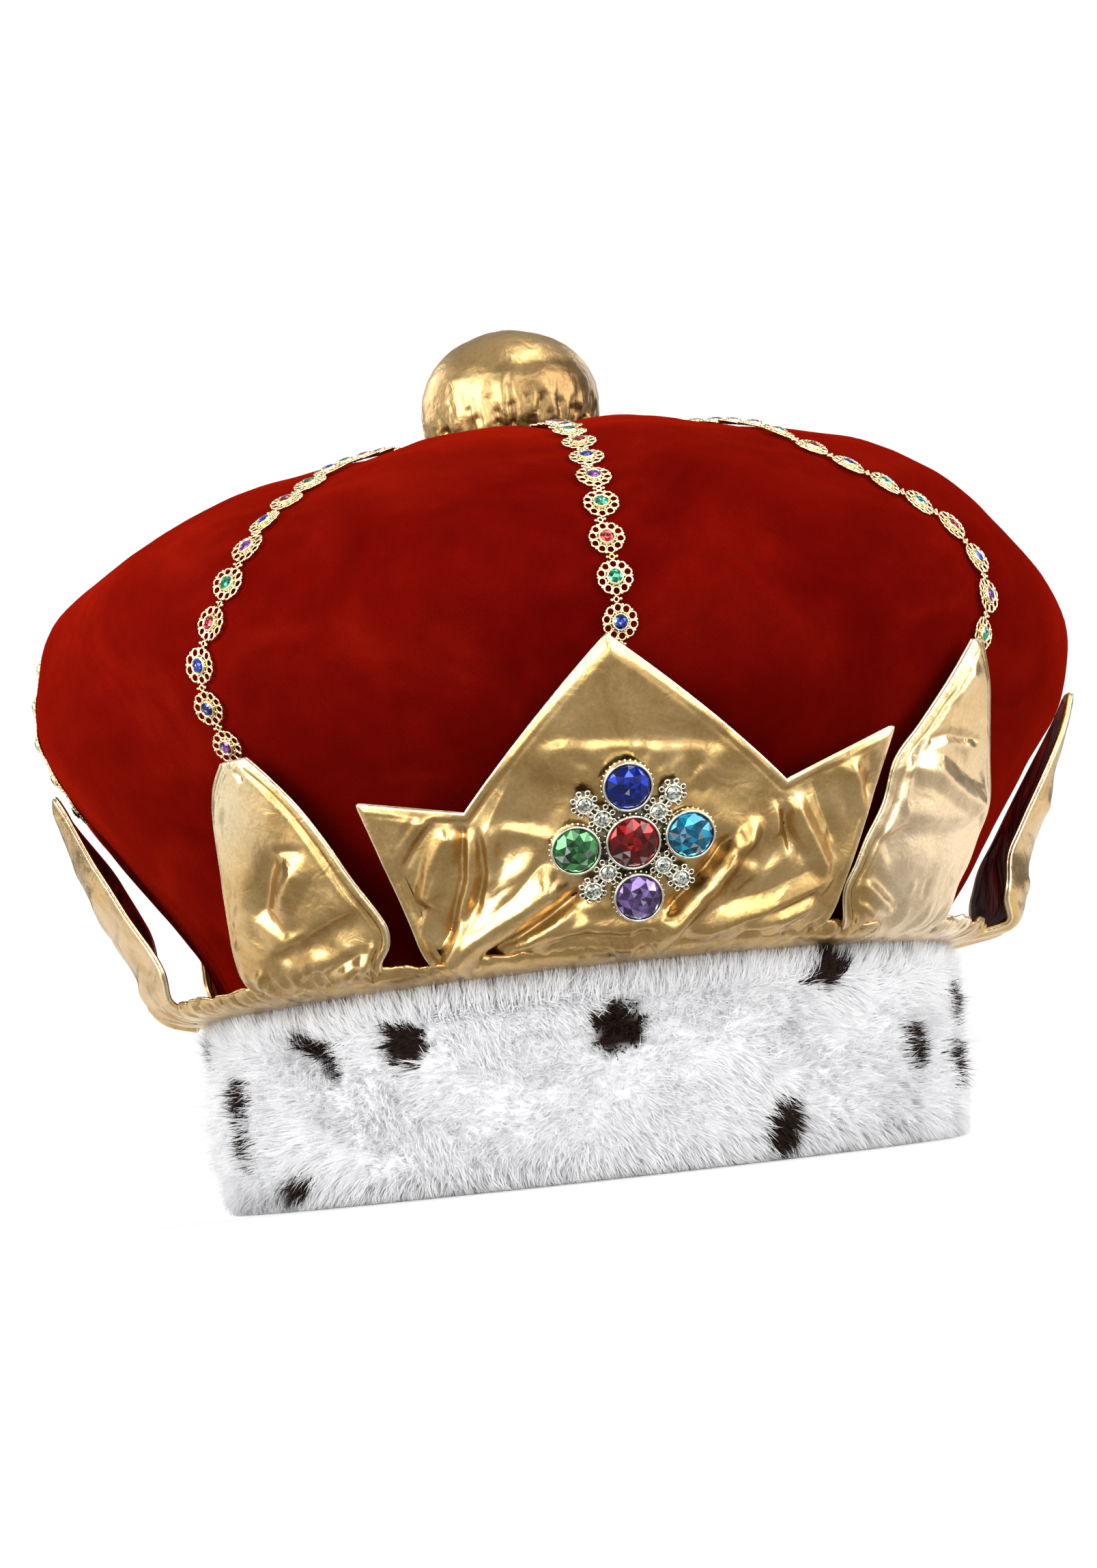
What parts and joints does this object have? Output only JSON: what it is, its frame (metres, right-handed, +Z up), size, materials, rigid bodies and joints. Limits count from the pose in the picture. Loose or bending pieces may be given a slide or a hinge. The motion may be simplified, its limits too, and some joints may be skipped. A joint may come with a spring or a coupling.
{
  "type": "plush crown",
  "caption": "Soft costume crown with a plush headband, puffed velvet cap, gold cloth points, jewelled trims, a brooch and a stuffed ball on top.",
  "frame": {"origin": "centre of the headband's lower edge, on the surface that the crown stands on", "axes": "+Z up through the ball; -Y is the front with the brooch; +X is to the right of someone looking at the front"},
  "size_m": [0.2988, 0.2957, 0.2427],
  "materials": {
    "plush": "short white pile with dark brown spots",
    "velvet": "deep red velvet with a sheen at grazing angles",
    "lining": "smooth dark red lining",
    "gold_cloth": "gold foil cloth, wrinkled, glossy",
    "trim_metal": "bright gold plating",
    "brooch_metal": "pale gold plating, darkened in the recesses",
    "clear_stone": "faceted, clear, foil backed",
    "stone_red": "faceted, foil backed",
    "stone_blue": "faceted, foil backed",
    "stone_aqua": "faceted, foil backed",
    "stone_purple": "faceted, foil backed",
    "stone_green": "faceted, foil backed"
  },
  "bodies": {
    "root": {"fur_band": "plush", "velvet_dome": "velvet", "gold_base_band": "gold_cloth", "front_point": "gold_cloth", "point_2": "gold_cloth", "point_3": "gold_cloth", "point_4": "gold_cloth", "point_5": "gold_cloth", "point_6": "gold_cloth", "point_7": "gold_cloth", "point_8": "gold_cloth", "top_ball": "gold_cloth", "gem_trim_1": "trim_metal", "gem_trim_2": "trim_metal", "gem_trim_3": "trim_metal", "gem_trim_4": "trim_metal", "gem_trim_5": "trim_metal", "gem_trim_6": "trim_metal", "gem_trim_7": "trim_metal", "gem_trim_8": "trim_metal", "brooch_base": "brooch_metal", "stone_centre": "stone_red", "stone_top": "stone_blue", "stone_right": "stone_aqua", "stone_bottom": "stone_purple", "stone_left": "stone_green"}
  },
  "joints": []
}
